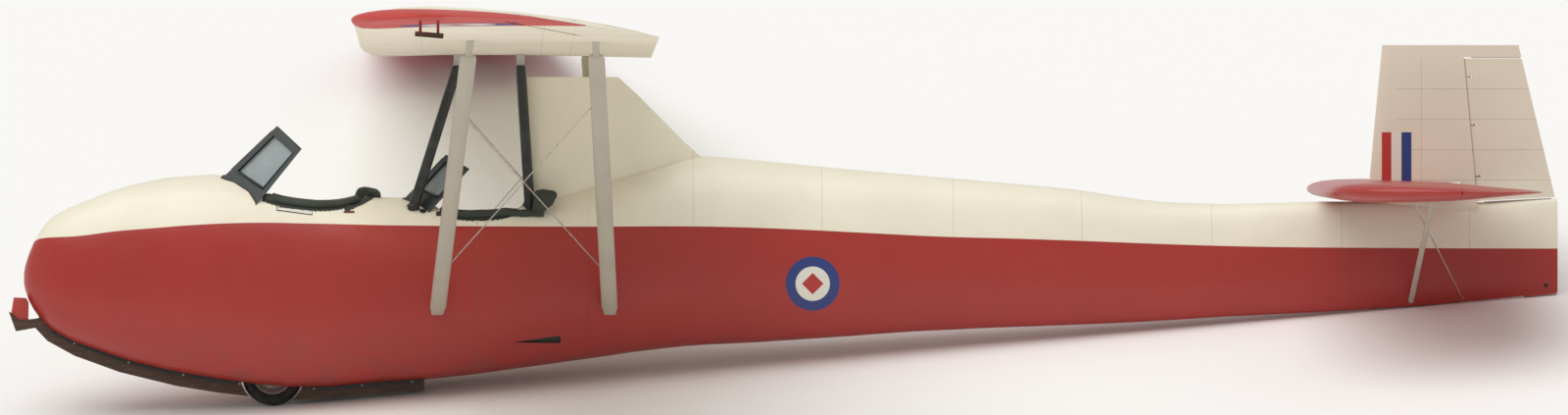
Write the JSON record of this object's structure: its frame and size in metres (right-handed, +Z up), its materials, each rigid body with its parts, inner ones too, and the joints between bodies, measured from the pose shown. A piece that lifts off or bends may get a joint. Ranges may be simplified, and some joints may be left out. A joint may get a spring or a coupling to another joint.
{
  "type": "strut-braced two-seat training glider",
  "caption": "Open-cockpit tandem training glider with a strut-braced high wing, hinged control surfaces and a free wheel, parked on its wheel, tail shoe and one wing tip.",
  "frame": {"origin": "bottom centre of the box round the parked glider, on the ground", "axes": "+X towards the tail, +Y towards the starboard wing tip, +Z up; the glider rests tail down and starboard tip down"},
  "size_m": [7.13, 12.8078, 3.2586],
  "materials": {
    "bare_steel": "worn steel",
    "bracing_wire": "drawn steel",
    "clear_sheet": "clear acrylic sheet",
    "dark_enamel": "semi-gloss dark enamel",
    "doped_fabric_cream": "painted, doped fabric over wooden ribs",
    "doped_fabric_red": "painted, doped fabric over wooden ribs",
    "hub_enamel": "grey-pink enamel",
    "padded_leather": "dark green leathercloth",
    "painted_fin": "painted, doped fabric over wooden ribs",
    "painted_plywood": "semi-gloss cream and red paint over plywood",
    "painted_strut": "semi-gloss paint",
    "panel_enamel": "matt black paint",
    "red_rubber": "painted rubber buffer",
    "skid_ash": "oiled ash, weathered",
    "tyre_rubber": "ribbed tyre rubber",
    "varnished_plywood": "varnished birch plywood",
    "windscreen_enamel": "dark green-grey enamel"
  },
  "bodies": {
    "airframe": {"cabane_tube_front_port": "dark_enamel", "cabane_tube_front_starboard": "dark_enamel", "cabane_tube_rear_port": "dark_enamel", "cabane_tube_rear_starboard": "dark_enamel", "coaming_front_port": "padded_leather", "coaming_front_starboard": "padded_leather", "coaming_rear_port": "padded_leather", "coaming_rear_starboard": "padded_leather", "cockpit_floor": "varnished_plywood", "control_stick_front": "dark_enamel", "control_stick_rear": "dark_enamel", "fin": "painted_fin", "fuselage_centre_shell": "painted_plywood", "fuselage_nose_shell": "painted_plywood", "fuselage_rear": "painted_plywood", "headrest_front": "padded_leather", "instrument_panel_front": "panel_enamel", "instrument_panel_rear": "panel_enamel", "lift_strut_front_port": "painted_strut", "lift_strut_front_starboard": "painted_strut", "lift_strut_rear_port": "painted_strut", "lift_strut_rear_starboard": "painted_strut", "nose_block": "red_rubber", "nose_skid": "skid_ash", "pylon_fairing": "painted_plywood", "rear_skid": "skid_ash", "rudder_bar_front": "dark_enamel", "rudder_bar_rear": "dark_enamel", "seat_front": "varnished_plywood", "seat_rear": "varnished_plywood", "strut_wire_a_port": "bracing_wire", "strut_wire_a_starboard": "bracing_wire", "strut_wire_b_port": "bracing_wire", "strut_wire_b_starboard": "bracing_wire", "tail_shoe": "bare_steel", "tail_strut_port": "painted_strut", "tail_strut_starboard": "painted_strut", "tail_wire_port": "bracing_wire", "tail_wire_starboard": "bracing_wire", "tailplane": "doped_fabric_red", "tip_skid_port": "skid_ash", "tip_skid_starboard": "skid_ash", "wheel_axle": "bare_steel", "wheel_well": "varnished_plywood", "windscreen_frame_front": "windscreen_enamel", "windscreen_frame_rear": "windscreen_enamel", "windscreen_glass_front": "clear_sheet", "windscreen_glass_rear": "clear_sheet", "wing_port": "doped_fabric_cream", "wing_starboard": "doped_fabric_cream"},
    "wheel": {"wheel_tyre": "tyre_rubber", "wheel_hub": "hub_enamel"},
    "aileron_port": {"aileron_port": "doped_fabric_cream"},
    "aileron_starboard": {"aileron_starboard": "doped_fabric_cream"},
    "elevator": {"elevator": "doped_fabric_red"},
    "rudder": {"rudder": "painted_fin"}
  },
  "joints": [
    {"name": "wheel_spin", "type": "hinge", "parent": "airframe", "child": "wheel", "pos_m": [-2.38378, -0.39568, 0.13727], "axis": [-0.0202, 0.9701, -0.2421], "continuous": true},
    {"name": "aileron_port_hinge", "type": "hinge", "parent": "airframe", "child": "aileron_port", "pos_m": [-0.78524, -3.61987, 2.45084], "axis": [0.1178, 0.9562, -0.2678], "range_deg": [-22, 22]},
    {"name": "aileron_starboard_hinge", "type": "hinge", "parent": "airframe", "child": "aileron_starboard", "pos_m": [-0.93583, 3.59731, 0.64995], "axis": [-0.1579, 0.9645, -0.2115], "range_deg": [-22, 22]},
    {"name": "elevator_hinge", "type": "hinge", "parent": "airframe", "child": "elevator", "pos_m": [3.05769, -0.19067, 0.50383], "axis": [-0.0202, 0.9701, -0.2421], "range_deg": [-30, 25]},
    {"name": "rudder_hinge", "type": "hinge", "parent": "airframe", "child": "rudder", "pos_m": [3.211, -0.20015, 0.45305], "axis": [-0.0154, 0.2418, 0.9702], "range_deg": [-30, 30]}
  ],
  "couplings": [
    {"joint": "aileron_starboard_hinge", "follows": "aileron_port_hinge", "ratio": -1}
  ]
}
